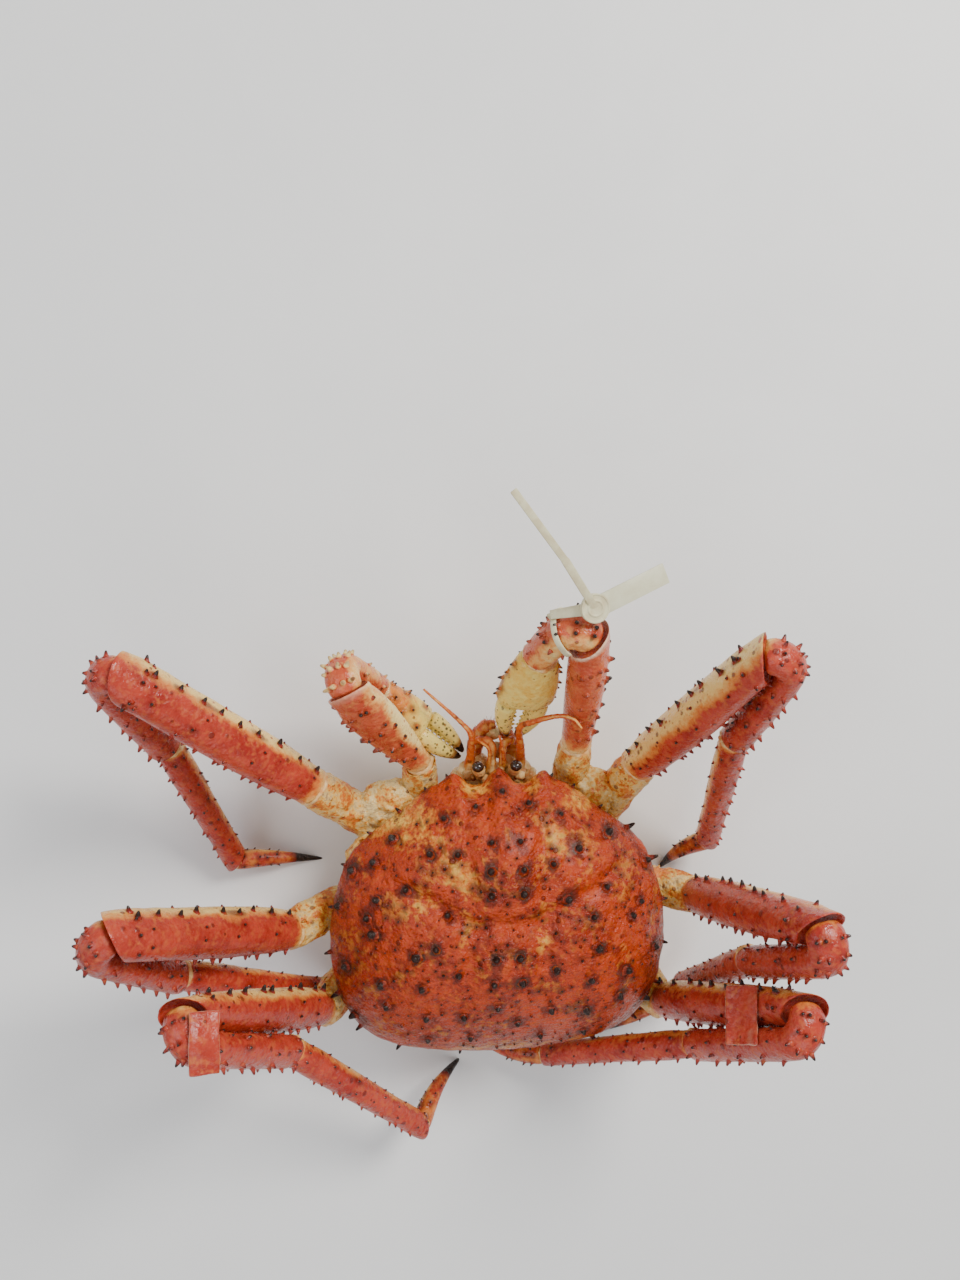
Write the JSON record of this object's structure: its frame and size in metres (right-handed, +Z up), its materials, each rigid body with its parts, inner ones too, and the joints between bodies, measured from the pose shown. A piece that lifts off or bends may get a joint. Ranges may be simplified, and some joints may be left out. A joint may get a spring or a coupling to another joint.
{
  "type": "red king crab",
  "caption": "Still, life-size model of a cooked red king crab, resting on its belly with folded walking legs, claws and feelers, and a plain tag on its right claw.",
  "frame": {"origin": "on the flat of the folded abdomen, the belly that the crab rests on, under the middle of the body", "axes": "+Z up through the back, +Y towards the head, -X towards the animal's left"},
  "size_m": [0.3402, 0.3515, 0.1811],
  "materials": {
    "shell": "glossy orange-red cooked shell",
    "limb": "glossy pinkish red cooked shell",
    "base": "cream shell with orange patches",
    "claw": "yellow to red shell with dark finger tips",
    "feeler": "orange, smooth",
    "belly": "cream, satin",
    "eye": "dark brown, wet gloss",
    "tag": "pale moulded plastic"
  },
  "bodies": {
    "root": {"abdomen": "limb", "antenna_left": "feeler", "antenna_right": "feeler", "antennule_left": "feeler", "antennule_right": "feeler", "carapace": "shell", "claw_left_base": "base", "claw_left_carpus": "limb", "claw_left_finger": "claw", "claw_left_merus": "limb", "claw_left_palm": "claw", "claw_right_base": "base", "claw_right_carpus": "limb", "claw_right_finger": "claw", "claw_right_merus": "limb", "claw_right_palm": "claw", "eye_left": "eye", "eye_right": "eye", "head": "base", "leg_left_1_base": "base", "leg_left_1_carpus": "limb", "leg_left_1_dactyl": "limb", "leg_left_1_merus": "limb", "leg_left_1_propodus": "limb", "leg_left_2_base": "base", "leg_left_2_carpus": "limb", "leg_left_2_dactyl": "limb", "leg_left_2_merus": "limb", "leg_left_2_propodus": "limb", "leg_left_3_base": "base", "leg_left_3_carpus": "limb", "leg_left_3_dactyl": "limb", "leg_left_3_merus": "limb", "leg_left_3_propodus": "limb", "leg_right_1_base": "base", "leg_right_1_carpus": "limb", "leg_right_1_dactyl": "limb", "leg_right_1_merus": "limb", "leg_right_1_propodus": "limb", "leg_right_2_base": "base", "leg_right_2_carpus": "limb", "leg_right_2_dactyl": "limb", "leg_right_2_merus": "limb", "leg_right_2_propodus": "limb", "leg_right_3_base": "base", "leg_right_3_carpus": "limb", "leg_right_3_dactyl": "limb", "leg_right_3_merus": "limb", "leg_right_3_propodus": "limb", "maxilliped_left": "feeler", "maxilliped_right": "feeler", "tag_label": "tag", "tag_strap": "tag", "thorax": "belly"}
  },
  "joints": []
}
